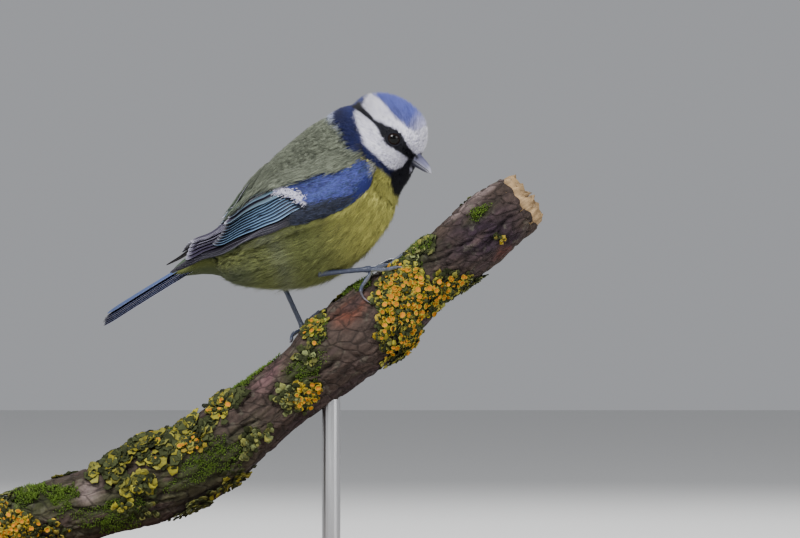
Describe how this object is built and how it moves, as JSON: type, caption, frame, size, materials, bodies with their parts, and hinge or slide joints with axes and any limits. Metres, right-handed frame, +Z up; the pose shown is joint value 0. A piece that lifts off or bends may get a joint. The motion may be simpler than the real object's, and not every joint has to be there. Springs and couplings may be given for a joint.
{
  "type": "blue tit model",
  "caption": "Life-size blue tit gripping a broken, lichen-covered branch held over a flat base by short rods.",
  "frame": {"origin": "centre of the underside of the base, on the surface the model stands on", "axes": "+X the way the bird faces, -Y the bird's right side, +Z up"},
  "size_m": [0.1582, 0.092, 0.1433],
  "materials": {
    "plumage_head": "soft white cheek feathers with blue cap, black eye stripe and bib",
    "plumage_collar": "soft dark blue collar feathers",
    "plumage_breast": "soft yellow breast and grey-green back feathers",
    "plumage_wing": "blue and teal feathers with white tips",
    "plumage_tail": "blue feathers with pale edges",
    "bill": "smooth grey horn",
    "eye": "glossy near-black",
    "leg": "blue-grey scaled skin",
    "bark": "rough bark with lichen and moss",
    "base_wood": "satin varnished oak",
    "rod_metal": "brushed steel"
  },
  "bodies": {
    "root": {"head": "plumage_head", "neck": "plumage_collar", "torso": "plumage_breast", "wing_left": "plumage_wing", "wing_right": "plumage_wing", "tail": "plumage_tail", "bill_upper": "bill", "bill_lower": "bill", "eye_left": "eye", "eye_right": "eye", "leg_left": "leg", "leg_right": "leg", "foot_left": "leg", "foot_right": "leg", "perch_branch": "bark", "stand_base": "base_wood", "stand_rod_low": "rod_metal", "stand_rod_high": "rod_metal"}
  },
  "joints": []
}
